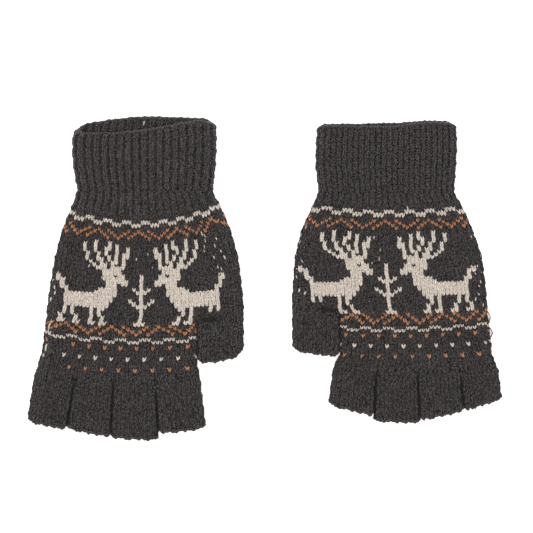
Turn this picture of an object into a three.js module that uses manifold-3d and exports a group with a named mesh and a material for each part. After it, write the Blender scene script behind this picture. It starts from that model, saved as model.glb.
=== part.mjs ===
import * as THREE from 'three';
import { mergeVertices } from 'three/addons/utils/BufferGeometryUtils.js';
import Module from 'manifold-3d';

// A pair of half-finger knitted gloves lying side by side, palms up, in millimetres.
// The surface they lie on is z = 0, +X runs to the right, +Y towards the cuffs.
// Each glove is a set of flat knitted tubes: a ribbed cuff with its starting hem, the
// hand, the thumb and four half fingers, each digit ended by a bind-off edge.

// driving dimensions
const thickness = 8.6; // two layers of knitting and the air between them
const wall = 1.8; // one layer of stranded knitting
const gap = 0.3; // clear space between two tubes that meet end to end
const sideGap = 0.5; // clear space between two digits that lie side by side
const hemLength = 3.6; // first rows of the cuff
const edgeLength = 2.2; // bound-off rows at the open end of a digit
const sideSteps = 8; // facets round each folded side of a tube
const flatSteps = 5; // facets across the flat of a tube

// colours of the wool
const charcoal = 0x3b3738;
const charcoalRib = 0x3e3a3b;
const rimBrown = 0x4a423f;

// the left glove: [x, y] of the left and the right side of each tube, from the cuff down
const leftGlove = {
  side: 'left',
  mouth: { left: [-112.3, 86.6], right: [-28.6, 90.2], bow: 2.4, tilt: -5.6 },
  cuff: [
    { left: [-112.6, 83], right: [-28.4, 86] },
    { left: [-112, 66], right: [-29, 66] },
    { left: [-109.4, 51.8], right: [-30.7, 51.8] },
  ],
  palm: [
    { left: [-109.6, 51.5], right: [-30.6, 51.5] },
    { left: [-113.6, 40], right: [-25.2, 40] },
    { left: [-118.4, 28.5], right: [-20.3, 28.5] },
    { left: [-122.6, 12], right: [-15.8, 12] },
    { left: [-126, -8], right: [-13.4, -8] },
    { left: [-127.4, -19.6], right: [-12.6, -19.6] },
  ],
  fingerBase: [
    { left: [-127.4, -19.6], right: [-39.8, -19.6] },
    { left: [-130, -42], right: [-39.8, -42] },
    { left: [-133, -52], right: [-39.8, -52] },
    { left: [-135.4, -59.4], right: [-37.9, -59.4] },
  ],
  thumb: { root: [[-39.2, -19.9], [-12.7, -19.9]], tip: [[-39.1, -48.2], [-12.8, -42.8]] },
  rootY: -59.4,
  fingers: {
    little: { roots: [-135.4, -111.2], tip: [[-139.5, -83.4], [-115.9, -89]] },
    ring: { roots: [-111.2, -88.4], tip: [[-115.9, -87.4], [-90.1, -93.2]] },
    middle: { roots: [-88.4, -63.7], tip: [[-90.1, -93.4], [-62.2, -94.6]] },
    index: { roots: [-63.7, -37.9], tip: [[-62.2, -91], [-34.4, -87.8]] },
  },
};

// the right glove, laid a little further up and with its cuff almost closed
const rightGlove = {
  side: 'right',
  mouth: { left: [31.2, 89.4], right: [112.2, 89.4], bow: 2.6, tilt: -1.4 },
  cuff: [
    { left: [30.6, 85.8], right: [112.6, 85.8] },
    { left: [30.4, 66], right: [112, 66] },
    { left: [32.3, 50.4], right: [110.9, 50.4] },
  ],
  palm: [
    { left: [32, 50.1], right: [111.2, 50.1] },
    { left: [27.6, 40], right: [116.8, 40] },
    { left: [22.4, 29], right: [121.6, 29] },
    { left: [18.6, 14], right: [127, 14] },
    { left: [17.2, -4], right: [129.4, -4] },
    { left: [16.6, -14], right: [130.2, -14] },
  ],
  fingerBase: [
    { left: [44.6, -14], right: [130.2, -14] },
    { left: [44.6, -44.9], right: [133.2, -44.9] },
    { left: [41.4, -51], right: [135.8, -51] },
    { left: [40.2, -54.5], right: [137.2, -54.5] },
  ],
  thumb: { root: [[16.7, -14.3], [44, -14.3]], tip: [[16.9, -41], [44, -44.6]] },
  rootY: -54.5,
  fingers: {
    index: { roots: [40.2, 65.6], tip: [[37.4, -73.6], [64.2, -81.2]] },
    middle: { roots: [65.6, 89.5], tip: [[64.2, -83.4], [91.2, -84.6]] },
    ring: { roots: [89.5, 114.7], tip: [[91.2, -83.4], [117, -77.4]] },
    little: { roots: [114.7, 137.2], tip: [[117, -77.6], [139.5, -70.4]] },
  },
};

const wasm = await Module();
wasm.setup();

// One closed loop round a flat tube: two half-round sides joined by flat layers.
// inset moves the loop inwards, so that 0 is the outside and wall the inside.
// tilt draws the upper layer back from the lower one, and bow curves both layers.
function tubeLoop(station, inset) {
  const { left, right, bow = 0, tilt = 0 } = station;
  const half = thickness / 2;
  const radius = half - inset;
  const rightCentre = right[0] - half;
  const leftCentre = left[0] + half;
  const loop = [];
  const place = (x, height) => {
    const across = (x - left[0]) / (right[0] - left[0]);
    const y = left[1] + (right[1] - left[1]) * across;
    const curve = bow * (1 - (2 * across - 1) ** 2);
    loop.push([x, y + curve + (tilt * height) / thickness, half + height]);
  };
  for (let step = 0; step <= sideSteps; step++) {
    const angle = -Math.PI / 2 + (Math.PI * step) / sideSteps;
    place(rightCentre + radius * Math.cos(angle), radius * Math.sin(angle));
  }
  for (let step = 1; step < flatSteps; step++) {
    place(rightCentre + ((leftCentre - rightCentre) * step) / flatSteps, radius);
  }
  for (let step = 0; step <= sideSteps; step++) {
    const angle = Math.PI / 2 + (Math.PI * step) / sideSteps;
    place(leftCentre + radius * Math.cos(angle), radius * Math.sin(angle));
  }
  for (let step = 1; step < flatSteps; step++) {
    place(leftCentre + ((rightCentre - leftCentre) * step) / flatSteps, -radius);
  }
  return loop;
}

// Joins equal loops into a skin. Loops run down the glove, from the cuff to the fingers.
function skin(loops, indices, firstVertex, inwards) {
  const count = loops[0].length;
  for (let row = 0; row + 1 < loops.length; row++) {
    for (let step = 0; step < count; step++) {
      const next = (step + 1) % count;
      const a = firstVertex + row * count + step;
      const b = firstVertex + row * count + next;
      const c = a + count;
      const d = b + count;
      if (inwards) {
        indices.push(a, c, b, b, c, d);
      } else {
        indices.push(a, b, c, b, d, c);
      }
    }
  }
}

function geometryOf(vertices, indices) {
  const geometry = new THREE.BufferGeometry();
  geometry.setAttribute('position', new THREE.Float32BufferAttribute(vertices.flat(), 3));
  geometry.setIndex(indices);
  geometry.computeVertexNormals();
  return geometry;
}

// An open tube: outer skin, inner skin and a ring of wall at each end.
function openTube(stations) {
  const outer = stations.map((station) => tubeLoop(station, 0));
  const inner = stations.map((station) => tubeLoop(station, wall));
  const count = outer[0].length;
  const innerStart = outer.length * count;
  const indices = [];
  skin(outer, indices, 0, false);
  skin(inner, indices, innerStart, true);
  const lastRow = (outer.length - 1) * count;
  for (let step = 0; step < count; step++) {
    const next = (step + 1) % count;
    indices.push(step, innerStart + step, next, next, innerStart + step, innerStart + next);
    const a = lastRow + step;
    const b = lastRow + next;
    indices.push(a, b, innerStart + a, b, innerStart + b, innerStart + a);
  }
  return geometryOf([...outer, ...inner].flat(), indices);
}

// A solid block of the same shape, for cutting and joining.
function solidTube(stations, inset) {
  const loops = stations.map((station) => tubeLoop(station, inset));
  const count = loops[0].length;
  const indices = [];
  skin(loops, indices, 0, false);
  const lastRow = (loops.length - 1) * count;
  for (let step = 1; step + 1 < count; step++) {
    indices.push(0, step + 1, step);
    indices.push(lastRow, lastRow + step, lastRow + step + 1);
  }
  return toManifold(geometryOf(loops.flat(), indices));
}

function toManifold(geometry) {
  geometry.deleteAttribute('normal');
  geometry.deleteAttribute('uv');
  const merged = mergeVertices(geometry, 1e-4);
  const vertProperties = new Float32Array(merged.attributes.position.array);
  const triVerts = new Uint32Array(merged.index.array);
  return new wasm.Manifold(new wasm.Mesh({ numProp: 3, vertProperties, triVerts }));
}

function fromManifold(solid) {
  const { vertProperties, triVerts, numProp } = solid.getMesh();
  const geometry = new THREE.BufferGeometry();
  const positions = [];
  for (let vertex = 0; vertex < vertProperties.length; vertex += numProp) {
    positions.push(vertProperties[vertex], vertProperties[vertex + 1], vertProperties[vertex + 2]);
  }
  geometry.setAttribute('position', new THREE.Float32BufferAttribute(positions, 3));
  geometry.setIndex([...triVerts]);
  geometry.computeVertexNormals();
  return geometry;
}

const pair = new THREE.Group();

function addPiece(name, geometry, color, roughness) {
  const material = new THREE.MeshStandardMaterial({ color, roughness, metalness: 0 });
  const mesh = new THREE.Mesh(geometry, material);
  mesh.name = name;
  pair.add(mesh);
}

function between(from, to, share) {
  return [from[0] + (to[0] - from[0]) * share, from[1] + (to[1] - from[1]) * share];
}

function shifted(station, dy) {
  const { left, right } = station;
  return { ...station, left: [left[0], left[1] + dy], right: [right[0], right[1] + dy] };
}

// The cuff: a long ribbed tube that ends in a short hem at the mouth.
function addCuff(glove) {
  const { side, mouth, cuff } = glove;
  const hemFoot = shifted(mouth, -hemLength);
  addPiece(`${side}_cuff_hem`, openTube([mouth, hemFoot]), charcoalRib, 0.95);
  const cuffTop = shifted(mouth, -hemLength - gap);
  const upper = { ...cuff[0], bow: mouth.bow / 2, tilt: mouth.tilt / 2 };
  upper.left = [cuff[0].left[0], cuffTop.left[1] - 8];
  upper.right = [cuff[0].right[0], cuffTop.right[1] - 8];
  addPiece(`${side}_cuff`, openTube([cuffTop, upper, ...cuff.slice(1)]), charcoalRib, 0.95);
}

// The hand: a wide palm down to the thumb, and a narrower part that carries the fingers.
function addHand(glove) {
  const { side, palm, fingerBase, thumb } = glove;
  const thumbLine = palm[palm.length - 1];
  const insideStart = {
    left: [fingerBase[0].left[0] + 0.4, thumbLine.left[1] + 1],
    right: [fingerBase[0].right[0] - 0.4, thumbLine.right[1] + 1],
  };
  const outside = solidTube(palm, 0).add(solidTube([insideStart, ...fingerBase], 0));

  const palmEnd = shifted(thumbLine, wall);
  const palmInside = solidTube([shifted(palm[0], 2), ...palm.slice(0, -1), palmEnd], wall);
  const baseEnd = shifted(fingerBase[fingerBase.length - 1], -2);
  const baseStart = shifted(fingerBase[0], wall + 2);
  const baseInside = solidTube([baseStart, ...fingerBase, baseEnd], wall);
  const thumbHole = { left: thumb.root[0], right: thumb.root[1] };
  const thumbInside = solidTube([shifted(thumbHole, wall + 2), shifted(thumbHole, -2)], wall);

  const inside = palmInside.add(baseInside).add(thumbInside);
  addPiece(`${side}_hand`, fromManifold(outside.subtract(inside)), charcoal, 0.95);
}

// A digit: a short open tube and, past a small gap, the bound-off edge at its end.
function addDigit(name, root, tip) {
  const length = root[0][1] - (tip[0][1] + tip[1][1]) / 2;
  const at = (distance) => ({
    left: between(root[0], tip[0], distance / length),
    right: between(root[1], tip[1], distance / length),
  });
  const tubeEnd = length - edgeLength - gap;
  addPiece(name, openTube([at(0), at(tubeEnd / 2), at(tubeEnd)]), charcoal, 0.95);
  addPiece(`${name}_edge`, openTube([at(length - edgeLength), at(length)]), rimBrown, 0.9);
}

for (const glove of [leftGlove, rightGlove]) {
  const { side, thumb, fingers, rootY } = glove;
  addCuff(glove);
  addHand(glove);
  addDigit(`${side}_thumb`, thumb.root, thumb.tip);
  for (const [finger, { roots, tip }] of Object.entries(fingers)) {
    const fingerRootY = rootY - gap;
    const root = [
      [roots[0] + sideGap / 2, fingerRootY],
      [roots[1] - sideGap / 2, fingerRootY],
    ];
    const end = [
      [tip[0][0] + sideGap / 2, tip[0][1]],
      [tip[1][0] - sideGap / 2, tip[1][1]],
    ];
    addDigit(`${side}_${finger}`, root, end);
  }
}

// the origin is the middle of the pair's footprint, on the surface they lie on
const footprint = new THREE.Box3().setFromObject(pair);
pair.position.y = -(footprint.min.y + footprint.max.y) / 2;

export default pair;
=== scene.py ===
import math

import bpy
import numpy as np
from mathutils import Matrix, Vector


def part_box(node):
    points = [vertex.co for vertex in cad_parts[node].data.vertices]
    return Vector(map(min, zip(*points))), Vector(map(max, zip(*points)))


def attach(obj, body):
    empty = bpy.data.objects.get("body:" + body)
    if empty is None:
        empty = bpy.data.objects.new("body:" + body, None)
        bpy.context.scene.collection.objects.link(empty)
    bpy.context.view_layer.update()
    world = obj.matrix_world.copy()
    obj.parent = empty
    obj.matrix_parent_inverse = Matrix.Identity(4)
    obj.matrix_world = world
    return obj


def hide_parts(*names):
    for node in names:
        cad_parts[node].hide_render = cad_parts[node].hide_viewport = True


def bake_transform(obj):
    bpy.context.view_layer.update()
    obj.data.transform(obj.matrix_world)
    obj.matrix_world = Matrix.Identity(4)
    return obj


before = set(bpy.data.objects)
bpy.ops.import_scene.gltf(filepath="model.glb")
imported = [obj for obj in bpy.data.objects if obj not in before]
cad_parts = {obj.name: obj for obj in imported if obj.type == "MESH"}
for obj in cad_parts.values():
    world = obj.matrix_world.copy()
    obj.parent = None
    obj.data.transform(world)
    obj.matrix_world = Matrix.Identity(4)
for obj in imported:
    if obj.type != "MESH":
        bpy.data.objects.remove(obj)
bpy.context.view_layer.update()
mm = 0.001
rng = np.random.default_rng(27)

# one stitch of stocking stitch, in mm: a V of two plump legs that tuck under their neighbours
stitch = {
    "wale": 2.3,       # width of one column of stitches
    "row": 1.6,        # height of one row
    "legWidth": 0.48,  # half width of a leg of the V
    "legHeight": 0.48,  # half height of a leg
    "rise": 0.26,      # how far the middle of a leg stands up
    "tuck": 0.6,       # how far its ends go under
    "purlWidth": 0.52,
    "purlHeight": 0.4,
    "linkWidth": 0.5,  # a link of the chain that binds off an edge
    "linkHeight": 0.48,
    "unevenness": 0.035,
    "sizeSpread": 0.05,  # how much stitches differ in size
}

# shape of the flat tubes, in mm
tube = {
    "half": 3.6,       # half the height of the glove to the middle of the yarn
    "middle": 4.8,     # height of the middle above the table
    "liningGap": 0.42,  # the fabric behind the stitches starts this far inside them
    "wallThick": 1.3,
    "ripple": 0.18,    # slow waves in the upper layer
    "wobble": 0.38,    # how uneven the outline is
    "leftPhase": 0.4,  # and where its waves begin on each side
    "rightPhase": 2.1,
}

# each yarn: its dark fibres, its own colour, its light flecks, and how strong its heather is
wool = {
    "charcoal": [(0.010, 0.009, 0.0098), (0.041, 0.0365, 0.0375), (0.14, 0.125, 0.121), 1.55],
    "cream": [(0.42, 0.35, 0.30), (0.80, 0.715, 0.63), (0.95, 0.89, 0.82), 0.3],
    "rust": [(0.25, 0.09, 0.035), (0.55, 0.245, 0.115), (0.66, 0.33, 0.16), 0.4],
    "rim": [(0.018, 0.014, 0.013), (0.066, 0.054, 0.049), (0.16, 0.13, 0.115), 1.0],
    "rib": [(0.016, 0.014, 0.0145), (0.050, 0.0445, 0.0455), (0.135, 0.12, 0.116), 1.25],
    # painted shade: a near-black yarn for the tube behind the stitches, darker than the charcoal it stands
    # for
    "shadeLining": [(0.006, 0.005, 0.005), (0.016, 0.014, 0.0145), (0.04, 0.035, 0.034), 1.0],
    # painted shade: a darker charcoal for the outermost stitches in the slits between digits
    "paintedSlitShade": [(0.006, 0.0052, 0.0055), (0.017, 0.015, 0.0155), (0.05, 0.044, 0.043), 1.0],
}
fibre = {
    "scale": 3200,
    "squeeze": (1.0, 0.5, 1.0),  # fibres run along the yarn
    "tones": (0.32, 0.52, 0.74),  # where the dark, own and fleck colours sit on the noise
    "heatherScale": 1750,
    "heatherTones": (0.42, 0.60),
    "heatherDark": 0.62,
    "heatherLight": (1.15, 1.08, 1.02),
    "roughness": 0.92,
    "gloss": 0.18,
    "sheen": 0.22,
    "sheenRoughness": 0.5,
    "fuzz": 0.55,
    "fuzzDepth": 0.00022,  # in metres
}
yarnSlot = {name: slot for slot, name in enumerate(wool)}


def setInputs(node, values):
    for socket, value in values.items():
        node.inputs[socket].default_value = value


def woolNoise(nodes, links, along, scale, roughness):
    noise = nodes.new("ShaderNodeTexNoise")
    setInputs(noise, {"Scale": scale, "Detail": 3, "Roughness": roughness})
    links.new(along.outputs["Vector"], noise.inputs["Vector"])
    return noise


def toneRamp(nodes, links, noise, positions, colors):
    # turns a noise into colours, from the first position to the last
    tones = nodes.new("ShaderNodeValToRGB")
    elements = tones.color_ramp.elements
    for end in (0, -1):
        elements[end].position = positions[end]
        elements[end].color = (*colors[end], 1)
    for position, color in zip(positions[1:-1], colors[1:-1]):
        elements.new(position).color = (*color, 1)
    links.new(noise.outputs["Fac"], tones.inputs["Fac"])
    return tones


def woolMaterial(name):
    dark, own, fleck, strength = wool[name]
    material = bpy.data.materials.new(name + "Wool")
    material.use_nodes = True
    nodes, links = material.node_tree.nodes, material.node_tree.links
    shader = nodes["Principled BSDF"]
    setInputs(shader, {
        "Roughness": fibre["roughness"], "Specular IOR Level": fibre["gloss"],
        "Sheen Weight": fibre["sheen"], "Sheen Roughness": fibre["sheenRoughness"],
    })
    place = nodes.new("ShaderNodeTexCoord")
    along = nodes.new("ShaderNodeMapping")
    setInputs(along, {"Scale": fibre["squeeze"]})
    links.new(place.outputs["Object"], along.inputs["Vector"])
    fibres = woolNoise(nodes, links, along, fibre["scale"], 0.65)
    heather = woolNoise(nodes, links, along, fibre["heatherScale"], 0.6)
    fibreTones = toneRamp(nodes, links, fibres, fibre["tones"], [dark, own, fleck])
    shade = [1 - fibre["heatherDark"] * strength] * 3
    light = [1 + much * strength for much in fibre["heatherLight"]]
    heatherTones = toneRamp(nodes, links, heather, fibre["heatherTones"], [shade, light])
    tones = nodes.new("ShaderNodeMix")
    tones.data_type = "RGBA"
    tones.blend_type = "MULTIPLY"
    setInputs(tones, {"Factor": 1.0})
    links.new(fibreTones.outputs["Color"], tones.inputs["A"])
    links.new(heatherTones.outputs["Color"], tones.inputs["B"])
    links.new(tones.outputs["Result"], shader.inputs["Base Color"])
    bump = nodes.new("ShaderNodeBump")
    setInputs(bump, {"Strength": fibre["fuzz"], "Distance": fibre["fuzzDepth"]})
    links.new(fibres.outputs["Fac"], bump.inputs["Height"])
    links.new(bump.outputs["Normal"], shader.inputs["Normal"])
    return material


materials = [woolMaterial(name) for name in wool]
print("wool colours ready")


def grain(path, width, height, sides=5):
    # a closed plump strand along path, tapering to a point at each end, in mm
    path = np.array(path, float)
    rings, points = path[1:-1], [path[0]]
    swell = [0.9, 1.0, 0.9] if len(rings) == 3 else [1.0] * len(rings)
    for number, centre in enumerate(rings):
        ahead = path[number + 2] - path[number]
        side = np.array([ahead[1], -ahead[0], 0.0])
        side /= np.linalg.norm(side)
        for step in range(sides):
            angle = math.pi / 2 + 2 * math.pi * step / sides
            offset = side * width * math.cos(angle) + np.array([0, 0, height * math.sin(angle)])
            points.append(centre + offset * swell[number])
    points.append(path[-1])
    faces, last = [], len(points) - 1
    for step in range(sides):
        after = (step + 1) % sides
        faces.append((0, 1 + after, 1 + step))
        faces.append((last, last - sides + step, last - sides + after))
        for number in range(len(rings) - 1):
            a, b = 1 + number * sides + step, 1 + number * sides + after
            faces += [(a, b, b + sides), (a, b + sides, a + sides)]
    return np.array(points), np.array(faces)


def joined(shapes):
    points, faces, count = [], [], 0
    for shapePoints, shapeFaces in shapes:
        points.append(shapePoints)
        faces.append(shapeFaces + count)
        count += len(shapePoints)
    return np.concatenate(points), np.concatenate(faces)


def mirrored(shape):
    points, faces = shape
    return points * np.array([-1, 1, 1]), faces[:, ::-1]


def inStitchUnits(shape, wale, row):
    points, faces = shape
    return points / np.array([wale, row, 1]), faces


def knitStitch(rise=0.0, bolder=1.0, wider=1.0):
    # the right leg of a V, from the point of the V up to where it tucks under the next row
    row = stitch["row"] * bolder
    apart, top = stitch["wale"] * wider, stitch["rise"] + rise
    leg = grain(
        [
            (0.08 * apart, 1.60 * row, rise - stitch["tuck"]),
            (0.125 * apart, 1.12 * row, rise + 0.06),
            (0.22 * apart, 0.48 * row, top),
            (0.32 * apart, -0.12 * row, rise + 0.06),
            (0.375 * apart, -0.58 * row, rise - stitch["tuck"]),
        ],
        stitch["legWidth"] * bolder * wider, stitch["legHeight"],
    )
    return inStitchUnits(joined([leg, mirrored(leg)]), stitch["wale"], stitch["row"])


# coloured stitches sit a little higher than charcoal ones, and fill out where they cover a figure
stitchKinds = {
    "plain": {},
    "line": {"rise": 0.06},
    "thinLine": {"rise": 0.04, "bolder": 0.85},
    "dot": {"rise": 0.08, "bolder": 1.1, "wider": 0.94},
    "figure": {"rise": 0.12, "bolder": 1.08, "wider": 1.05},
}


def purlBump(lift):
    # the short bar of a purl stitch, lying across its column
    wale, row = stitch["wale"], stitch["row"]
    across = grain(
        [
            (-0.42 * wale, 0.80 * row, lift - 0.95),
            (-0.22 * wale, 0.58 * row, lift - 0.50),
            (0.0, 0.42 * row, lift - 0.35),
            (0.22 * wale, 0.58 * row, lift - 0.50),
            (0.42 * wale, 0.80 * row, lift - 0.95),
        ],
        stitch["purlWidth"], stitch["purlHeight"],
    )
    return inStitchUnits(across, wale, row)


def chainStitch(height):
    # one link of the chain that binds off an edge, lying along it
    wale, row = stitch["wale"], stitch["row"]
    link = grain(
        [
            (-0.62 * wale, 0.05 * row, height - 0.45),
            (-0.30 * wale, 0.20 * row, height + 0.1),
            (0.0, 0.36 * row, height + 0.3),
            (0.32 * wale, 0.50 * row, height + 0.1),
            (0.60 * wale, 0.58 * row, height - 0.45),
        ],
        stitch["linkWidth"], stitch["linkHeight"],
    )
    return inStitchUnits(link, wale, row)


def repeat(shape, wales, rows, layers, yarns, surface, unevenly=1.0):
    # sets one copy of the shape at each stitch and bends it onto the surface
    points, faces = shape
    count = len(wales)
    uneven = stitch["unevenness"] * unevenly
    shift = rng.normal(0, uneven, (count, 1, 3)) * np.array([0.7, 1.0, 1.2])
    size = 1 + rng.normal(0, stitch["sizeSpread"] * unevenly, (count, 1, 1))
    local = points[None] * size + shift
    across = wales[:, None] + 0.5 + local[..., 0]
    down = rows[:, None] + local[..., 1]
    layer = np.repeat(layers[:, None], len(points), 1)
    placed = surface(across.ravel(), down.ravel(), layer.ravel(), local[..., 2].ravel())
    offsets = (np.arange(count) * len(points))[:, None, None]
    upper = np.repeat(layers > 0, len(faces))
    every = (faces[None] + offsets).reshape(-1, 3)
    every[upper] = every[upper][:, ::-1]
    return placed, every, np.repeat(yarns, len(faces))


def meshObject(name, parts):
    vertices, faces, slots, count = [], [], [], 0
    for partVertices, partFaces, partSlots in parts:
        vertices.append(partVertices)
        faces.append(partFaces + count)
        slots.append(partSlots)
        count += len(partVertices)
    vertices, faces, slots = np.concatenate(vertices), np.concatenate(faces), np.concatenate(slots)
    mesh = bpy.data.meshes.new(name)
    mesh.from_pydata((vertices * mm).tolist(), [], faces.tolist())
    used = sorted(set(slots.tolist()))
    for slot in used:
        mesh.materials.append(materials[slot])
    mesh.polygons.foreach_set("material_index", np.searchsorted(used, slots).astype(np.int32))
    mesh.polygons.foreach_set("use_smooth", np.ones(len(faces), bool))
    mesh.update()
    piece = bpy.data.objects.new(name, mesh)
    bpy.context.scene.collection.objects.link(piece)
    return piece


def nodeCorners(name):
    low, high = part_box(name)
    return np.array(low) / mm, np.array(high) / mm


def nodePoints(*names):
    found = []
    for name in names:
        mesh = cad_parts[name].data
        points = np.empty(len(mesh.vertices) * 3)
        mesh.vertices.foreach_get("co", points)
        found.append(points.reshape(-1, 3) / mm)
    return found


def sideLines(levels, *names):
    # how far the CAD nodes reach to the left and to the right at each level
    starts, ends = [], []
    for name, points in zip(names, nodePoints(*names)):
        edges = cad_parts[name].data.edges
        pairs = np.empty(len(edges) * 2, np.int32)
        edges.foreach_get("vertices", pairs)
        pairs = pairs.reshape(-1, 2)
        starts.append(points[pairs[:, 0]])
        ends.append(points[pairs[:, 1]])
    starts, ends = np.concatenate(starts), np.concatenate(ends)
    low, high = np.minimum(starts[:, 1], ends[:, 1]), np.maximum(starts[:, 1], ends[:, 1])
    lefts, rights = [], []
    for level in levels:
        crossing = (low <= level) & (high >= level) & (high - low > 1e-5)
        a, b = starts[crossing], ends[crossing]
        x = a[:, 0] + (b[:, 0] - a[:, 0]) * (level - a[:, 1]) / (b[:, 1] - a[:, 1])
        lefts.append(x.min())
        rights.append(x.max())
    return np.array(lefts), np.array(rights)


def smooth(share):
    share = np.clip(share, 0, 1)
    return share * share * (3 - 2 * share)


def acrossLayer(share, layer, width, leftCorner, rightCorner, half):
    # where a share of the way across one layer lies: distance from the left side, height
    # from the middle, and which way is out. Beyond a side it carries on under the other layer.
    turned = (share < 0) | (share > 1)
    share = np.where(share < 0, -share, np.where(share > 1, 2 - share, share))
    facing = np.where(turned, -layer, layer)
    leftQuarter = math.pi / 2 * np.sqrt((leftCorner**2 + half**2) / 2)
    rightQuarter = math.pi / 2 * np.sqrt((rightCorner**2 + half**2) / 2)
    flat = width - leftCorner - rightCorner
    total = flat + leftQuarter + rightQuarter
    run = share * total
    leftTurn = np.clip(run / leftQuarter, 0, 1) * math.pi / 2
    rightTurn = np.clip((total - run) / rightQuarter, 0, 1) * math.pi / 2
    x = leftCorner * (1 - np.cos(leftTurn)) + np.clip(run - leftQuarter, 0, flat)
    x = x + rightCorner * np.cos(rightTurn)
    rise = np.minimum(np.sin(leftTurn), np.sin(rightTurn))
    outX = np.cos(rightTurn) / rightCorner - np.cos(leftTurn) / leftCorner
    outZ = rise / half
    length = np.sqrt(outX**2 + outZ**2) + 1e-9
    return x, facing * half * rise, outX / length, facing * outZ / length


def ripple(x, y):
    waves = np.sin(x * 0.115 + y * 0.061 + 0.7) + 0.7 * np.sin(y * 0.148 - x * 0.052 + 2.1)
    waves = waves + 0.5 * np.sin(x * 0.24 + 1.3) * np.sin(y * 0.21 + 0.4)
    return waves * tube["ripple"]


def lifted(x, y, height, facing):
    # the upper layer lies on the lower one, a little lower in the middle and never quite flat
    upper = np.clip(height / tube["half"], 0, 1)
    return tube["middle"] + height + upper * (ripple(x, y) - tube["ripple"]) * (facing >= 0)


# the hand of each glove: rows are counted from the cuff down, wales from the left.
# depths says how far down each of rows lies, in mm, and bowLeft and bowRight how far a row
# climbs towards the sides. drift moves the columns sideways, in wales, at easeDepths, and
# easeLeft and easeRight open them out or draw them in on either side of the tree.
hands = {
    "left": {
        "wales": 51, "thumbWales": 10, "thumbFrom": 41, "baseFrom": 0, "centreWale": 24,
        "rows": [0, 12, 15, 18, 40, 50, 53, 66, 70], "ribTo": 10,
        "depths": [0, 18.0, 23.5, 27.5, 62.3, 79.3, 83.6, 104.6, None],
        "bowRows": [0, 6, 12, 33, 48, 56, 66],
        "bowLeft": [0, 4.4, 7.2, 2.8, 4.2, 5.6, 5.0],
        "bowRight": [0, 6.3, 10.6, 4.6, 4.4, 5.5, 7.8],
        "patternFrom": 12, "upperDip": 17, "lowerDip": 23, "upperStep": 3, "lowerStep": 3,
        "rustDots": 3, "creamDots": 1, "firstDot": 5,
        "easeDepths": [18, 30, 45, 66, 74, 82, 90], "drift": [0, 0, -0.1, 0, 0.2, 1.1, 1.5],
        "easeLeft": [0.972, 1.005, 0.98, 0.962, 0.975, 1.05, 1.025],
        "easeRight": [0.906, 0.944, 0.975, 0.98, 0.97, 1.03, 1.065],
    },
    "right": {
        "wales": 51, "thumbWales": 10, "thumbFrom": 0, "baseFrom": 10, "centreWale": 25,
        "rows": [0, 8, 11, 14, 40, 46, 49, 52, 62, 68], "ribTo": 6,
        "depths": [0, 10.2, 15.9, 19.8, 60.2, 70.6, 75.4, 80.0, 94.8, None],
        "bowRows": [0, 4, 8, 29, 45, 52, 62],
        "bowLeft": [0, 3.2, 4.6, 0.4, 0.2, 3.0, 3.8],
        "bowRight": [0, 2.2, 3.4, 0.4, 3.4, 3.4, 2.6],
        "patternFrom": 8, "upperDip": 18, "lowerDip": 19, "upperStep": 3, "lowerStep": 1,
        "rustDots": 1, "creamDots": 3, "firstDot": 0,
        "easeDepths": [18, 30, 46, 64, 74, 84, 98], "drift": [0.3, -0.3, 0.2, 0.7, 0.2, -0.5, -0.6],
        "easeLeft": [1.12, 1.09, 0.99, 0.96, 0.98, 1.05, 1.09],
        "easeRight": [1.09, 1.06, 1.03, 1.0, 1.03, 1.05, 1.1],
    },
}
handShape = {
    "corner": 8.0,      # how round the sides are, in mm
    "gusset": 9.0,      # depth over which the hand narrows below the thumb
    "edgeWales": 4.0,   # wales beside an edge over which the drift fades out
    "thumbAbove": 0.3,  # the thumb's own stitches start this far above its CAD tube
    "thumbWale": 2,     # the wale of the thumb, from the hand, that settles its first row
    "skip": 0.05,       # outlines are read this far inside the ends of a node
}
digitNames = ["thumb", "index", "middle", "ring", "little"]


def readHand(side):
    # the outline of the hand, with the thumb's root above its line and without it below
    hand = hands[side]
    low, high = nodeCorners(f"{side}_hand")
    hand["top"], hand["bottom"] = high[1], low[1]
    hand["depths"][-1] = high[1] - low[1]
    hand["thumbLine"] = nodeCorners(f"{side}_thumb")[1][1] + handShape["thumbAbove"]
    upper = np.linspace(hand["thumbLine"] + 0.2, high[1] - handShape["skip"], 120)
    lower = np.linspace(low[1] + handShape["skip"], hand["thumbLine"] - 0.4, 80)
    hand["full"] = (upper, *sideLines(upper, f"{side}_hand"))
    hand["base"] = (lower, *sideLines(lower, f"{side}_hand"))
    hand["baseWales"] = hand["wales"] - hand["thumbWales"]
    fromHand = handShape["thumbWale"] if side == "left" else hand["thumbWales"] - handShape["thumbWale"]
    rows = np.arange(hand["rows"][-1])
    levels = rowLevel(hand, np.full(len(rows), hand["thumbFrom"] + fromHand), rows)
    hand["thumbRow"] = int(np.argmin(np.abs(levels - hand["thumbLine"])))


def rowLevel(hand, wale, row):
    # how high a row of the hand lies at a wale
    depth = np.interp(row, hand["rows"], hand["depths"])
    beyond = np.clip(row - hand["rows"][-1], 0, None) + np.clip(row, None, 0)
    centre = hand["centreWale"]
    toLeft = np.clip((centre - wale) / centre, 0, 1.1) ** 2
    toRight = np.clip((wale - centre) / (hand["wales"] - centre), 0, 1.1) ** 2
    bowLeft = np.interp(row, hand["bowRows"], hand["bowLeft"])
    bowRight = np.interp(row, hand["bowRows"], hand["bowRight"])
    return hand["top"] - depth - beyond * stitch["row"] + bowLeft * toLeft + bowRight * toRight


def wobble(y, phase):
    # small waves of an outline
    return tube["wobble"] * (np.sin(y * 0.83 + phase) + 0.7 * np.sin(y * 1.71 + 2.3 * phase)) / 1.7


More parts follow.
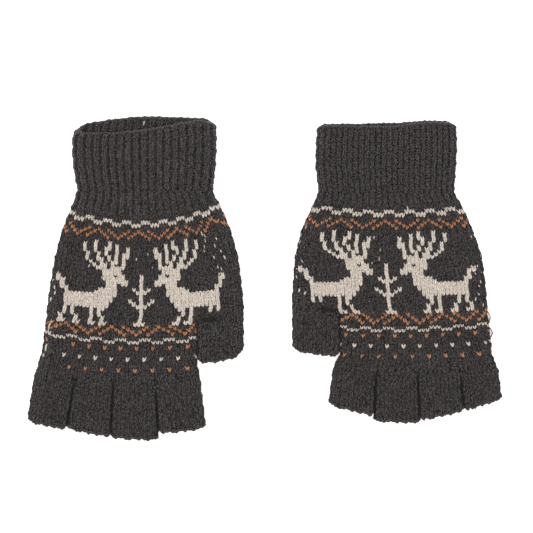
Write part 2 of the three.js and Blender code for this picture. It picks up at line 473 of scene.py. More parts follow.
def eased(hand, wale, y, first, last):
    # the columns of stitches don't run quite straight: they drift and open out with the depth
    depth = hand["top"] - y
    fromTree = wale - figures["treeWale"] - 0.5
    openLeft = np.interp(depth, hand["easeDepths"], hand["easeLeft"])
    openRight = np.interp(depth, hand["easeDepths"], hand["easeRight"])
    opening = np.where(fromTree < 0, openLeft, openRight) - 1
    inside = smooth(np.minimum(wale - first, last - wale) / handShape["edgeWales"])
    return wale + (np.interp(depth, hand["easeDepths"], hand["drift"]) + fromTree * opening) * inside


def handPoint(hand, wale, y, layer, height):
    # where a wale of the hand lies at a level, height above its surface
    corner, half = handShape["corner"], tube["half"]
    spots = []
    parts = (("full", 0, hand["wales"]), ("base", hand["baseFrom"], hand["baseWales"]))
    for part, first, count in parts:
        share = (eased(hand, wale, y, first, first + count) - first) / count
        levels, lefts, rights = hand[part]
        left = np.interp(y, levels, lefts) + wobble(y, tube["leftPhase"])
        right = np.interp(y, levels, rights) + wobble(y, tube["rightPhase"])
        corners = np.full_like(y, corner)
        x, z, outX, outZ = acrossLayer(share, layer, right - left, corners, corners, half)
        x = left + x + outX * height
        spots.append((x, lifted(x, y, z, layer) + outZ * height))
    # over the thumb the columns run straight down, beside it they follow the crotch
    overThumb = np.clip((wale - hand["baseFrom"] - hand["baseWales"]) / hand["thumbWales"], 0, 1)
    overThumb = overThumb + np.clip((hand["baseFrom"] - wale) / hand["thumbWales"], 0, 1)
    narrow = smooth((hand["thumbLine"] - y) / handShape["gusset"]) * (1 - overThumb)
    x = spots[0][0] * (1 - narrow) + spots[1][0] * narrow
    z = spots[0][1] * (1 - narrow) + spots[1][1] * narrow
    return np.stack([x, y, z], 1)


def handSurface(hand):
    def surface(wale, row, layer, height):
        return handPoint(hand, wale, rowLevel(hand, wale, row), layer, height)
    return surface


# one reindeer, from its tail on the left to its nose: a mark is a cream stitch
reindeer = [
    "...................",
    ".........#...#.....",
    "......#..#...#.#...",
    "......#..#..##.#..#",
    "......#..#..#..#..#",
    ".......#..#.#..#.##",
    ".......#..#..#.#.##",
    ".......#..##.#.#.#.",
    "........#..#..##.#.",
    ".........#.##.#..#.",
    "..........###.####.",
    "............#####..",
    "............#####..",
    "............###.##.",
    "#...........######.",
    "##...........######",
    ".#...........###.##",
    ".#...........###...",
    ".##........#####...",
    "..#.......######...",
    "..##############...",
    "..#############....",
    "..#############....",
    "..############.....",
    "..############.....",
    "..#.#....#.##......",
    "..#.#....#.#.......",
    "..#.#....#.#.......",
    ".#...#...#..#......",
    ".#...#...#..#......",
    ".##..##..##.##.....",
]
# the tree: rows of its trunk and foot, and the rows where a branch crosses each wale beside it
tree = {"trunkFrom": 13, "feet": 30, "branches": {1: [19, 24], 2: [18, 23], 3: [22]}}
figures = {"rows": 31, "firstRow": 7, "tailWale": 2, "treeWale": 24}
# the rows of the other bands, counted from the top of the pattern
bands = {
    "upperLine": (0, 1), "upperZigzag": (3, 6), "lowerZigzag": (38, 41), "lowerLine": (43, 44),
    "rustDots": (46, 54), "creamDots": (50,), "dotEvery": 4, "stepWales": 3,
}


def zigzagRows(offset):
    # small peaks and dips in turn, each seven stitches wide
    offset = (offset + 3) % 12 - 3
    if offset <= 3:
        rows = [abs(offset)]
        if abs(offset) == 3:
            rows.append(0)
        return rows
    return [3 - abs(offset - 6)]


def figureMark(wale, row):
    fromTrunk = abs(wale - figures["treeWale"])
    if fromTrunk == 0:
        return row >= tree["trunkFrom"]
    if fromTrunk == 1 and row == tree["feet"]:
        return True
    if fromTrunk in tree["branches"] and row in tree["branches"][fromTrunk]:
        return True
    # the second reindeer faces the first across the tree
    fromTail = figures["treeWale"] - figures["tailWale"] - fromTrunk
    return 0 <= fromTail < len(reindeer[0]) and reindeer[row][fromTail] == "#"


def stitchKind(hand, row, yarn):
    band = row - hand["patternFrom"]
    if yarn == yarnSlot["charcoal"]:
        return "plain"
    if band > bands["lowerLine"][1]:
        return "dot"
    if band > bands["lowerZigzag"][1]:
        return "thinLine"
    inFigures = figures["firstRow"] <= band < figures["firstRow"] + figures["rows"]
    return "figure" if inFigures else "line"


def inStep(band, wale, line, start):
    # a line of two rows that steps up and down every few wales
    high = ((wale - start) // bands["stepWales"]) % 2 == 1
    return band in line and (band == line[0]) == high


def inZigzag(band, wale, zigzag, dip):
    return zigzag[0] <= band <= zigzag[1] and (zigzag[1] - band) in zigzagRows(wale - dip)


def yarnAt(hand, wale, row):
    # the pattern of the palm: which yarn knits this stitch
    band = row - hand["patternFrom"]
    if inStep(band, wale, bands["upperLine"], hand["upperStep"]):
        return "cream"
    if inZigzag(band, wale, bands["upperZigzag"], hand["upperDip"]):
        return "rust"
    if 0 <= band - figures["firstRow"] < figures["rows"]:
        return "cream" if figureMark(wale, band - figures["firstRow"]) else "charcoal"
    if inZigzag(band, wale, bands["lowerZigzag"], hand["lowerDip"]):
        return "rust"
    if inStep(band, wale, bands["lowerLine"], hand["lowerStep"]):
        return "cream"
    if wale < hand["firstDot"]:
        return "charcoal"
    if band in bands["rustDots"] and wale % bands["dotEvery"] == hand["rustDots"]:
        return "rust"
    if band in bands["creamDots"] and wale % bands["dotEvery"] == hand["creamDots"]:
        return "cream"
    return "charcoal"


def shadeLining(surface, walesAround, rowFrom, rowTo, steps, width):
    # the fabric behind the stitches, as a closed tube with an inside, in a near-black yarn: painted shade
    # behind and between the stitches
    around = np.linspace(0, 2, walesAround, endpoint=False)
    wale = np.where(around <= 1, around, 2 - around) * width
    layer = np.where((around > 0) & (around < 1), 1.0, -1.0)
    layer[0] = 1.0
    rows = np.linspace(rowFrom, rowTo, steps)
    loops = []
    outer = -tube["liningGap"]
    inner = outer - tube["wallThick"]
    for height, order in ((outer, rows), (inner, rows[::-1])):
        for row in order:
            loops.append(surface(wale, np.full_like(wale, row), layer, np.full_like(wale, height)))
    vertices = np.concatenate(loops)
    count, total = len(wale), len(loops)
    faces = []
    for loop in range(total):
        after = (loop + 1) % total
        a = loop * count + np.arange(count)
        b = loop * count + (np.arange(count) + 1) % count
        c, d = after * count + np.arange(count), after * count + (np.arange(count) + 1) % count
        faces += [np.stack([a, b, c], 1), np.stack([b, d, c], 1)]
    faces = np.concatenate(faces)
    return vertices, faces, np.full(len(faces), yarnSlot["shadeLining"])


def cells(columns, rows):
    wale, row = np.meshgrid(columns, rows)
    return wale.ravel(), row.ravel()


def buildHand(side):
    hand = hands[side]
    surface = handSurface(hand)
    wale, row = cells(np.arange(hand["wales"]), np.arange(hand["ribTo"], hand["rows"][-1]))
    inThumb = (wale >= hand["thumbFrom"]) & (wale < hand["thumbFrom"] + hand["thumbWales"])
    kept = (row < hand["thumbRow"]) | ~inThumb
    wale, row = wale[kept], row[kept]
    charcoal = np.full(len(wale), yarnSlot["charcoal"])
    patterned = np.array([yarnSlot[yarnAt(hand, w, r)] for w, r in zip(wale, row)])
    above = np.ones(len(wale))
    kinds = np.array([stitchKind(hand, r, yarn) for r, yarn in zip(row, patterned)])
    palm = []
    for kind, shape in stitchKinds.items():
        chosen = kinds == kind
        placed = wale[chosen], row[chosen], above[chosen], patterned[chosen]
        palm.append(repeat(knitStitch(**shape), *placed, surface))
    back = [repeat(knitStitch(), wale, row, -above, charcoal, surface)]
    ribs = cuffs[side]["ribs"]
    perRib = hand["wales"] / ribs

    def ribbed(rib, row, layer, height):
        return surface(rib * perRib, row, layer, height)

    # the last ribs of the cuff run on into the hand
    ribCell, rowCell = cells(np.arange(ribs), np.arange(hand["ribTo"]))
    palm += ribStitches(ribCell, rowCell, 1.0, ribbed, cuffs[side]["valley"])
    back += ribStitches(ribCell, rowCell, -1.0, ribbed, cuffs[side]["valley"])
    palm += strayYarn(side, surface)

    def byLevel(wale, level, layer, height):
        return handPoint(hand, wale, level, layer, height)

    def baseByLevel(wale, level, layer, height):
        return handPoint(hand, hand["baseFrom"] + wale, level, layer, height)

    above, below = hand["thumbLine"] + 0.3, hand["thumbLine"] - 0.4
    upperLining = shadeLining(byLevel, 120, hand["top"], below, 30, hand["wales"])
    lowerLining = shadeLining(baseByLevel, 100, above, hand["bottom"] - 1.4, 20, hand["baseWales"])
    palmPiece = meshObject(f"{side}HandPalm", palm)
    backPiece = meshObject(f"{side}HandBack", back)
    liningPiece = meshObject(f"{side}HandShadeLining", [upperLining, lowerLining])
    for piece in (palmPiece, backPiece, liningPiece):
        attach(piece, f"{side}_hand_body")
    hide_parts(f"{side}_hand")
    print(side, "hand knitted,", len(wale), "stitches a side")


digits = {
    "wales": 12,       # stitches across each layer
    "sideCorner": 6.4,  # how round the free sides are
    "handCorner": 8.0,  # and where a side goes on from the side of the hand
    "gapCorner": 2.0,  # and along the gap to its neighbour
    "gapWidth": 0.15,   # room between two neighbours, before the stitches fill it
    "joinCorner": 0.7,  # and where it is still joined to its neighbour
    "spareWales": 1.6,  # stitches that turn down into the gap between two digits
    "runOn": 3.0,      # how far the columns of the hand run on into a finger
    "thumbRunOn": 9.0,  # and into the thumb, whose crotch widens slowly
    "liningStart": 0.4,  # the lining of a digit starts this far inside the hand
    "rimRadius": 0.82,  # the bound-off edge: how thick it is
    "rimSwing": 0.12,  # and how far it sways
    "scallop": 0.42,   # waves of the open end
    "tipRound": 1.1,   # how far the corners of an open end pull back
    "tipRun": 3,       # and over what depth
    "cornerRun": 14,   # depth over which a free side turns from the hand's corner to its own
    "liningEnd": 0.45,  # rows between the lining and the open end
    "bendFrom": 0.5,   # depths below a digit's root, in mm; nothing reads them and the digit isn't bent
    "bendTo": 11,
    # how far the middle of the open end reaches out
    "plainBulge": 0.4,
    "bulge": {"left": {"thumb": 3.2}, "right": {"thumb": 1.9}},
    # how far down from the root the gap to the next digit opens, in mm: left side, right side
    "joined": {
        "left": {
            "thumb": (4, 0), "little": (0, 3.6), "ring": (3.6, 0.6), "middle": (0.6, 8.4), "index": (8.4, 0),
        },
        "right": {
            "thumb": (0, 8), "little": (2.4, 0), "ring": (1.2, 2.4), "middle": (0.6, 1.2), "index": (0, 0.6),
        },
    },
}


def waleAt(hand, x, y):
    # which wale of the hand lies at a place on its upper layer
    wales = np.linspace(hand["baseFrom"], hand["baseFrom"] + hand["baseWales"], 400)
    spots = handPoint(hand, wales, np.full_like(wales, y), np.ones_like(wales), np.zeros_like(wales))
    order = np.argsort(spots[:, 0])
    return float(np.interp(x, spots[order, 0], wales[order]))


def readDigit(side, digit):
    # where a digit lies, out of its CAD nodes, and which stitches of the hand run on into it
    hand, name = hands[side], f"{side}_{digit}"
    tubePoints, edgePoints = nodePoints(name, name + "_edge")
    across, down = tubePoints[:, 0], tubePoints[:, 1]
    rootLeft = tubePoints[np.argmin(across - down)][:2]
    rootRight = tubePoints[np.argmax(across + down)][:2]
    across, down = edgePoints[:, 0], edgePoints[:, 1]
    tipLeft = edgePoints[np.argmin(across + down)][:2]
    tipRight = edgePoints[np.argmax(across - down)][:2]
    rootY = (rootLeft[1] + rootRight[1]) / 2
    joinedLeft, joinedRight = digits["joined"][side][digit]
    if digit == "thumb":
        first, startRow = hand["thumbFrom"], hand["thumbRow"]
        last = first + hand["thumbWales"]
    else:
        first, last, startRow = hand["baseFrom"], hand["baseFrom"] + hand["baseWales"], hand["rows"][-1]
        if joinedLeft:
            first = waleAt(hand, rootLeft[0], rootY + 0.5)
        if joinedRight:
            last = waleAt(hand, rootRight[0], rootY + 0.5)
    spareLeft = digits["spareWales"] if joinedLeft else 0
    spareRight = digits["spareWales"] if joinedRight else 0
    length = rootY - (tipLeft[1] + tipRight[1]) / 2
    flatWales = digits["wales"] - spareLeft - spareRight
    bulge = digits["bulge"][side].get(digit, digits["plainBulge"])
    leftPhase = rootLeft[0] if joinedLeft else tube["leftPhase"]
    rightPhase = rootRight[0] if joinedRight else tube["rightPhase"]

    def handWale(wale):
        within = np.clip(wale, spareLeft, digits["wales"] - spareRight)
        beyond = (wale - within) * (0.3 if digit == "thumb" else (last - first) / flatWales)
        return np.interp(within, ownWales, matchingWales) + beyond

    def endLevels(wale):
        share = np.clip(wale / digits["wales"], 0, 1)
        fromMiddle = np.abs(2 * share - 1)
        start = rowLevel(hand, np.clip(handWale(wale), 0, hand["wales"]), startRow)
        end = tipLeft[1] + (tipRight[1] - tipLeft[1]) * share
        end = end + digits["tipRound"] * fromMiddle**5 - bulge * (1 - fromMiddle**3)
        return start, end + digits["scallop"] * np.sin(wale * 2.6 + rootLeft[0] + np.sin(wale * 0.9))

    def cornerAt(run, joined):
        if joined == 0:
            turned = smooth(run / digits["cornerRun"])
            return digits["handCorner"] + (digits["sideCorner"] - digits["handCorner"]) * turned
        opened = smooth((run - joined + 2) / 5)
        return digits["joinCorner"] + (digits["gapCorner"] - digits["joinCorner"]) * opened

    def inset(run, joined):
        # a free side pulls back at the open end, a side in a gap leaves room for its neighbour
        if joined == 0:
            nearTip = np.clip(1 - (length - run) / digits["tipRun"], 0, 1)
            return digits["tipRound"] * nearTip**2 * 0.6
        return digits["gapWidth"] / 2 * smooth((run - joined + 1) / 4)

    def atLevel(wale, y, layer, height):
        run = rootY - y
        share = run / length
        left = rootLeft[0] + (tipLeft[0] - rootLeft[0]) * share + wobble(y, leftPhase)
        right = rootRight[0] + (tipRight[0] - rootRight[0]) * share + wobble(y, rightPhase)
        left = left + inset(run, joinedLeft)
        right = right - inset(run, joinedRight)
        corners = cornerAt(run, joinedLeft), cornerAt(run, joinedRight)
        x, z, outX, outZ = acrossLayer(wale / digits["wales"], layer, right - left, *corners, tube["half"])
        x = left + x + outX * height
        return np.stack([x, y, lifted(x, y, z, layer) + outZ * height], 1)

    # the columns of a finger meet those of the hand, the thumb's share its own out evenly
    ownWales = np.linspace(spareLeft, digits["wales"] - spareRight, 40)
    spots = atLevel(ownWales, np.full(40, rootY - 0.5), np.ones(40), np.zeros(40))
    matchingWales = [waleAt(hand, x, rootY - 0.5) for x in spots[:, 0]]
    if digit == "thumb":
        matchingWales = first + (ownWales - spareLeft) * (last - first) / flatWales
    start, end = endLevels(np.linspace(1, digits["wales"] - 1, 9))
    rows = int(round((start - end).mean() / stitch["row"]))

    def levelAt(wale, row):
        start, end = endLevels(wale)
        return start + (end - start) * row / rows

    def insideOf(wale, share, layer, height):
        # the lining starts inside the hand and ends just short of the bound-off edge
        above = rootY + digits["liningStart"]
        below = levelAt(wale, rows - digits["liningEnd"])
        return atLevel(wale, above + (below - above) * share, layer, height)

    return {
        "rootY": rootY, "middleX": (rootLeft[0] + rootRight[0]) / 2, "rows": rows,
        "runOn": digits["thumbRunOn"] if digit == "thumb" else digits["runOn"],
        "spareLeft": spareLeft, "spareRight": spareRight,
        "handWale": handWale, "levelAt": levelAt, "atLevel": atLevel, "insideOf": insideOf,
    }


def digitSurface(side, shape):
    # near its root a digit follows the hand, and turns into its own tube below
    hand = hands[side]

    def surface(wale, row, layer, height):
        y = shape["levelAt"](wale, row)
        onDigit = shape["atLevel"](wale, y, layer, height)
        onHand = handPoint(hand, shape["handWale"](wale), y, layer, height)
        above = smooth((y - shape["rootY"] + shape["runOn"] - 0.5) / shape["runOn"])[:, None]
        return onDigit * (1 - above) + onHand * above
    return surface


def rimCord(surface, wales, row, radius, swing, slot):
    # a knobbly cord round an open end, over the thickness of the fabric: a bump for each wale
    bumps = wales * 2
    steps = bumps * 4
    around = np.linspace(0, 2, steps, endpoint=False)
    wale = np.where(around <= 1, around, 2 - around) * wales
    layer = np.where((around > 0) & (around < 1), 1.0, -1.0)
    layer[0] = 1.0
    depth = -tube["liningGap"] - tube["wallThick"] / 2
    phase = 2 * math.pi * bumps * around / 2
    bumpEvery = np.repeat(rng.uniform(0.8, 1.25, bumps), 4)
    bumpEvery = (bumpEvery + np.roll(bumpEvery, 1) + np.roll(bumpEvery, -1)) / 3
    sides = 7
    rings = []
    for step in range(sides):
        angle = 2 * math.pi * step / sides
        reach = radius * (1 + 0.16 * np.cos(phase)) * bumpEvery
        twist = angle + 0.5 * np.sin(phase)
        height = depth + reach * 1.15 * np.cos(twist)
        down = row + (swing * np.cos(phase) * bumpEvery + reach * np.sin(twist)) / stitch["row"]
        rings.append(surface(wale, down, layer, height))
    vertices = np.stack(rings, 1).reshape(-1, 3)
    faces = []
    for step in range(sides):
        after = (step + 1) % sides
        here = np.arange(steps) * sides
        there = (np.arange(steps) + 1) % steps * sides
        a, b, c, d = here + step, here + after, there + step, there + after
        faces += [np.stack([a, c, b], 1), np.stack([b, c, d], 1)]
    faces = np.concatenate(faces)
    return vertices, faces, np.full(len(faces), slot)


def buildDigit(side, digit):
    name = f"{side}_{digit}"
    shape = readDigit(side, digit)
    wales, rows = digits["wales"], shape["rows"]
    surface = digitSurface(side, shape)
    wale, row = cells(np.arange(wales), np.arange(rows - 1))
    # the side stitches of a digit begin where it parts from its neighbour
    inGap = (wale + 0.5 < shape["spareLeft"]) | (wale + 0.5 > wales - shape["spareRight"])
    kept = ~inGap | (shape["levelAt"](wale + 0.5, row) < shape["rootY"])
    wale, row = wale[kept], row[kept]
    ones = np.ones(len(wale))
    # between two digits the outermost column of stitches gets a darker yarn: painted shade for the dark slit
    # between them
    paintedSlitShade = ((wale == 0) & (shape["spareLeft"] > 0)) | ((wale == wales - 1) & (shape["spareRight"] > 0))
    yarn = np.where(paintedSlitShade, yarnSlot["paintedSlitShade"], yarnSlot["charcoal"])
    plain = knitStitch()
    front = repeat(plain, wale, row, ones, yarn, surface)
    behind = repeat(plain, wale, row, -ones, yarn, surface)
    inside = shadeLining(shape["insideOf"], 48, 0, 1, 14, wales)
    pretty = side + digit.capitalize()
    knit = meshObject(pretty + "Knit", [front, behind, inside])
    linkWale = np.arange(wales)
    ones = np.ones(wales)
    rim = np.full(wales, yarnSlot["rim"])
    link = chainStitch(0.1)
    linkRow = np.full(wales, rows - 1.2)
    links = [repeat(link, linkWale, linkRow, facing * ones, rim, surface, 2.0) for facing in (1, -1)]
    cordRow = rows - digits["liningEnd"]
    cord = rimCord(surface, wales, cordRow, digits["rimRadius"], digits["rimSwing"], yarnSlot["rim"])
    edge = meshObject(pretty + "BoundEdge", links + [cord])
    for piece, slot in ((knit, "knitted_wool"), (edge, "bind_off_edge")):
        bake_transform(piece)
    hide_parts(name)
    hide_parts(name + "_edge")


# the cuffs: ribs of knit stitches with purl stitches sunk between them
cuffs = {
    "corner": 5.5,
    "ribShare": 0.66,  # how much of each rib's width stands up
    "ribFullness": 1.15,  # how plump the standing stitches are
    "mouthRound": 3.6,  # how round the corners of the mouth are
    "hemRows": 2,
    "rimRadius": 1.0,
    "rimSwing": 0.36,
    "bendFrom": 0.5,   # heights above the wrist, in mm; the cuff isn't bent
    "bendTo": 13,
    # insideDepth is the share of the rows that are ribbed inside, valley how high the purls lie.
    # the lifts say how much higher an edge of the mouth runs, in mm, at shares of its width
    "left": {
        "ribs": 19, "insideDepth": 0.5, "valley": 0.1,
        "frontAt": [0, 0.1, 0.28, 0.42, 0.54, 0.68, 0.82, 0.92, 1],
        "frontLift": [0, -0.4, -2.2, -1.9, -0.9, 0.6, 3.0, 4.2, 1.5],
        "backAt": [0, 0.45, 0.75, 1],
        "backLift": [0, 1.2, 0.3, 0],
        "yarnEnd": (8.9, 2.0),  # a cream end that shows inside the mouth: rib, row
    },
    "right": {
        "ribs": 26, "insideDepth": 0.3, "valley": 0.22,
        "frontAt": [0, 0.3, 0.55, 0.72, 0.88, 1],
        "frontLift": [0, -2.5, -2.9, -0.4, 1.0, 1.2],
        "backAt": [0, 0.1, 0.3, 0.58, 0.76, 0.88, 1],
        "backLift": [0, -0.7, -1.9, -1.9, 0, 1.0, 1.3],
    },
}


def ribStitches(rib, row, facing, surface, valley):
    # knit stitches that stand up and purl stitches sunk between them
    spread = cuffs["ribShare"]
    points, faces = knitStitch(wider=cuffs["ribFullness"])
    standing = points * np.array([spread, 1, 1]), faces
    points, faces = purlBump(valley)
    sunken = points * np.array([(1 - spread) * 1.6, 1, 1]), faces
    yarn, layer = np.full(len(rib), yarnSlot["rib"]), np.full(len(rib), facing)
    return [
        repeat(standing, rib, row, layer, yarn, surface),
        repeat(sunken, rib + 0.5, row, layer, yarn, surface),
    ]


# ends and floats of the coloured yarns that show through the knitting: wale, row, how far they
# run along the wale and across it, in rows and wales, and how far they stand off
strays = {
    "left": [
        ("cream", 2.4, 50.0, 6.0, -0.4, 1.0),
        ("cream", 1.9, 55.7, 0.9, 1.3, 0.7),
        ("rust", 1.8, 57.2, 1.8, 0.0, 0.7),
        ("cream", 1.8, 59.2, 3.2, -0.1, 0.9),
        ("cream", 1.2, 63.0, 1.3, 0.5, 0.9),
        ("rust", 3.2, 51.0, 1.4, 0.8, 0.7),
        ("cream", 0.6, 15.0, 2.2, 0.3, 0.7),
        ("cream", 0.9, 18.4, 1.8, 0.4, 0.7),
    ],
    "right": [
        ("cream", 49.7, 47.2, 3.4, 0.2, 0.9),
        ("rust", 50.6, 46.2, 6.4, 0.3, 1.7),
        ("cream", 49.9, 54.2, 2.4, 0.2, 1.0),
        ("cream", 49.0, 57.6, 1.4, 0.8, 0.7),
        ("charcoal", 50.7, 52.8, 5.2, 0.3, 1.7),
        ("rust", 49.6, 51.4, 1.6, 0.4, 0.8),
        ("rust", 48.6, 60.6, 1.2, 0.4, 0.6),
        ("cream", 31.0, 6.0, 2.4, 0.2, 0.8),
    ],
}
# small flecks of cream where the yarn behind grins through: wales and rows between which they
# fall, and how many
grinning = {
    "left": [
        (42.2, 44.5, 17, 25, 5), (44.5, 47.6, 21, 35, 9), (1.6, 2.6, 31, 42, 6),
        (9, 15, 26, 33, 4), (18, 30, 21, 31, 5),
    ],
    "right": [(46.5, 50, 14, 46, 13), (0.8, 4.5, 12, 40, 12), (14, 40, 16, 28, 7)],
}


def strayYarn(side, surface):
    parts = []
    wide, tall = stitch["wale"], stitch["row"]

    def strand(yarn, wale, row, along, across, stand, width):
        path = [
            (0, 0, -0.5),
            (0.2 * across * wide, 0.15 * along * tall, 0.5 * stand),
            (0.5 * across * wide, 0.5 * along * tall, stand),
            (0.8 * across * wide, 0.85 * along * tall, 0.5 * stand),
            (across * wide, along * tall, -0.5),
        ]
        shape = inStitchUnits(grain(path, width, width), wide, tall)
        place = np.array([wale - 0.5]), np.array([row]), np.ones(1)
        return repeat(shape, *place, np.array([yarnSlot[yarn]]), surface)

    for yarn, wale, row, along, across, stand in strays[side]:
        parts.append(strand(yarn, wale, row, along, across, stand, 0.42))
    for waleFrom, waleTo, rowFrom, rowTo, count in grinning[side]:
        for number in range(count):
            wale = rng.uniform(waleFrom, waleTo)
            row = rowFrom + (rowTo - rowFrom) * (number + rng.uniform(0.1, 0.9)) / count
            along, across = rng.uniform(1.0, 2.0), rng.uniform(-0.4, 0.5)
            parts.append(strand("cream", wale, row, along, across, 0.62, rng.uniform(0.26, 0.42)))
    return parts


def readCuff(side):
    # the outline of the cuff and the two edges of its mouth, out of its CAD nodes
    cuff = cuffs[side]
    names = (f"{side}_cuff", f"{side}_cuff_hem")
    hemPoints = nodePoints(names[1])[0]
    low, high = nodeCorners(names[0])[0], nodeCorners(names[1])[1]
    cuff["waist"] = low[1]
    levels = np.linspace(low[1] + 0.05, high[1] - 0.05, 90)
    lefts, rights = sideLines(levels, *names)
    cuff["left"], cuff["right"] = hemPoints[:, 0].min(), hemPoints[:, 0].max()
    below = levels < high[1] - 9
    cuff["sides"] = (levels[below], lefts[below], rights[below])
    cuff["mouth"] = []
    for chosen in (hemPoints[:, 2] < 0.01, hemPoints[:, 2] > high[2] - 0.01):
        line = hemPoints[chosen]
        xs = np.unique(np.round(line[:, 0], 1))
        ys = [line[np.abs(line[:, 0] - x) < 0.06][:, 1].max() for x in xs]
        cuff["mouth"].append((xs, np.array(ys)))
    cuff["rows"] = int(round((high[1] - 2 - low[1]) / stitch["row"]))


def cuffSurface(side):
    # rows are counted from the mouth towards the wrist
    cuff = cuffs[side]
    half = tube["half"] + 0.1

    def surface(rib, row, layer, height):
        share = rib / cuff["ribs"]
        folded = np.where(share < 0, -share, np.where(share > 1, 2 - share, share))
        guess = cuff["left"] + (cuff["right"] - cuff["left"]) * folded
        corners = np.full_like(share, cuffs["corner"])
        x, z, outX, outZ = acrossLayer(share, layer, cuff["right"] - cuff["left"], corners, corners, half)
        lowY = np.interp(guess, *cuff["mouth"][0])
        highY = np.interp(guess, *cuff["mouth"][1])
        upward = (z / half + 1) / 2
        lowY = lowY + np.interp(folded, cuff["backAt"], cuff["backLift"])
        highY = highY + np.interp(folded, cuff["frontAt"], cuff["frontLift"])
        mouthY = lowY + (highY - lowY) * upward
        y = mouthY + (cuff["waist"] - mouthY) * row / cuff["rows"]
        levels, lefts, rights = cuff["sides"]
        left = np.interp(y, levels, lefts) + wobble(y, tube["leftPhase"])
        right = np.interp(y, levels, rights) + wobble(y, tube["rightPhase"])
        near = np.clip(1 - (mouthY - y) / cuffs["mouthRound"], 0, 1)
        pulledIn = cuffs["mouthRound"] * (1 - np.sqrt(1 - near**2 * 0.98))
        left, right = left + pulledIn, right - pulledIn
        x, z, outX, outZ = acrossLayer(share, layer, right - left, corners, corners, half)
        x = left + x + outX * height
        return np.stack([x, y, lifted(x, y, z, layer) + outZ * height], 1)
    return surface


def buildCuff(side):
    cuff = cuffs[side]
    surface = cuffSurface(side)
    rib, row = cells(np.arange(cuff["ribs"]), np.arange(cuff["rows"]))
    inHem = row < cuffs["hemRows"]
    knitParts, hemParts = [], []
    for facing in (1.0, -1.0):
        knitParts += ribStitches(rib[~inHem], row[~inHem], facing, surface, cuff["valley"])
        hemParts += ribStitches(rib[inHem], row[inHem], facing, surface, cuff["valley"])

    def insideOut(ribs, rows, layer, height):
        return surface(ribs, rows, layer, -height - tube["wallThick"] - 1.15)

    insideRows = int(cuff["rows"] * cuff["insideDepth"])
    rib, row = cells(np.arange(cuff["ribs"]), np.arange(insideRows))
    for facing in (1.0, -1.0):
        for points, faces, yarn in ribStitches(rib, row, facing, insideOut, cuff["valley"]):
            knitParts.append((points, faces[:, ::-1], yarn))

    if "yarnEnd" in cuff:
        rib, row = cuff["yarnEnd"]
        path = [(-0.4, 1.5, 0.2), (-0.2, 0.9, 0.9), (0, 0, 1.2), (0.25, -0.9, 0.9), (0.45, -1.5, 0.2)]
        ribWidth = (cuff["right"] - cuff["left"]) / cuff["ribs"]
        end = inStitchUnits(grain(path, 0.42, 0.42), ribWidth, stitch["row"])
        place = np.array([rib]), np.array([row]), -np.ones(1)
        points, faces, yarn = repeat(end, *place, np.array([yarnSlot["cream"]]), insideOut)
        knitParts.append((points, faces[:, ::-1], yarn))

    def sunken(ribs, rows, layer, height):
        return surface(ribs, rows, layer, height - 0.5)

    knitParts.append(shadeLining(sunken, cuff["ribs"] * 8, 0.3, cuff["rows"] + 0.4, 24, cuff["ribs"]))
    rim = rimCord(surface, cuff["ribs"], 0.0, cuffs["rimRadius"], cuffs["rimSwing"], yarnSlot["rib"])
    hemParts.append(rim)
    knit = meshObject(f"{side}CuffRib", knitParts)
    hem = meshObject(f"{side}CuffHem", hemParts)
    middleX = (cuff["left"] + cuff["right"]) / 2
    for piece in (knit, hem):
        end = (middleX * mm, (cuff["waist"] + cuffs["bendTo"]) * mm, tube["middle"] * mm)
        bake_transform(piece)
    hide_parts(f"{side}_cuff")
    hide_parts(f"{side}_cuff_hem")
    print(side, "cuff ribbed,", cuff["ribs"], "ribs a side")


for side in ("left", "right"):
    readHand(side)
    readCuff(side)
    buildHand(side)
    buildCuff(side)
    for digit in digitNames:
        buildDigit(side, digit)
    print(side, "digits knitted")


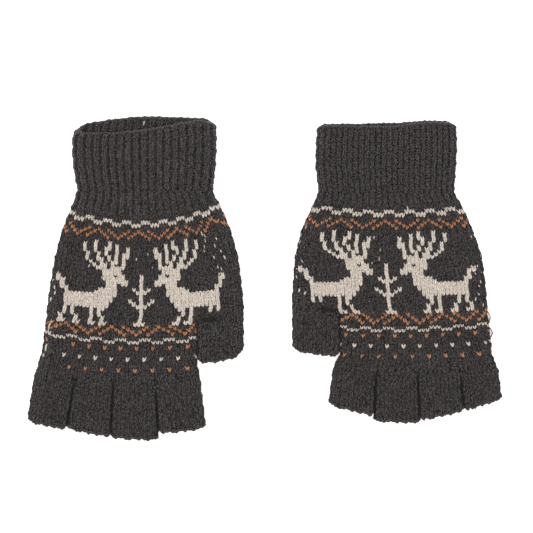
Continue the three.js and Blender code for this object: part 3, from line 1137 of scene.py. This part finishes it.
# places and sizes of the studio are in metres
studio = {
    "floor": (0.93, 0.93, 0.93), "floorGlow": 0.75, "floorReach": 40.0,
    "sky": 0.60,
    "key": 9.0, "keyPlace": (-0.6, 0.9, 1.3), "keySize": 0.9,
    "fill": 2.6, "fillPlace": (0.9, -0.3, 1.2), "fillSize": 1.5,
    "lens": 85, "sensor": 36,
    "viewWidth": 0.3118,  # how much the camera takes in at the height of the gloves' tops
    "aim": (0.0012, 0.0074), "topHeight": 0.008,
}


def floorMaterial():
    material = bpy.data.materials.new("paleFloor")
    material.use_nodes = True
    setInputs(material.node_tree.nodes["Principled BSDF"], {
        "Base Color": (*studio["floor"], 1), "Roughness": 0.9,
        "Emission Color": (1, 1, 1, 1), "Emission Strength": studio["floorGlow"],
    })
    return material


floorMesh = bpy.data.meshes.new("floor")
reach = studio["floorReach"]
floorMesh.from_pydata(
    [(-reach, -reach, 0), (reach, -reach, 0), (reach, reach, 0), (-reach, reach, 0)], [], [(0, 1, 2, 3)]
)
floorMesh.materials.append(floorMaterial())
floor = bpy.data.objects.new("floor", floorMesh)
bpy.context.scene.collection.objects.link(floor)

world = bpy.data.worlds.new("studio")
world.use_nodes = True
setInputs(world.node_tree.nodes["Background"], {"Color": (1, 1, 1, 1), "Strength": studio["sky"]})
bpy.context.scene.world = world


def softLight(name, place, power, size):
    light = bpy.data.lights.new(name, "AREA")
    light.energy = power
    light.size = size
    lamp = bpy.data.objects.new(name, light)
    lamp.location = place
    direction = -lamp.location
    lamp.rotation_euler = direction.to_track_quat("-Z", "Y").to_euler()
    bpy.context.scene.collection.objects.link(lamp)


softLight("keyLight", studio["keyPlace"], studio["key"], studio["keySize"])
softLight("fillLight", studio["fillPlace"], studio["fill"], studio["fillSize"])

cameraData = bpy.data.cameras.new("camera")
cameraData.lens = studio["lens"]
cameraData.sensor_width = studio["sensor"]
camera = bpy.data.objects.new("camera", cameraData)
distance = studio["viewWidth"] * studio["lens"] / studio["sensor"]
camera.location = (*studio["aim"], distance + studio["topHeight"])
camera.rotation_euler = (0, 0, 0)
bpy.context.scene.collection.objects.link(camera)
bpy.context.scene.camera = camera
bpy.context.scene.view_settings.view_transform = "Standard"
print("studio ready")
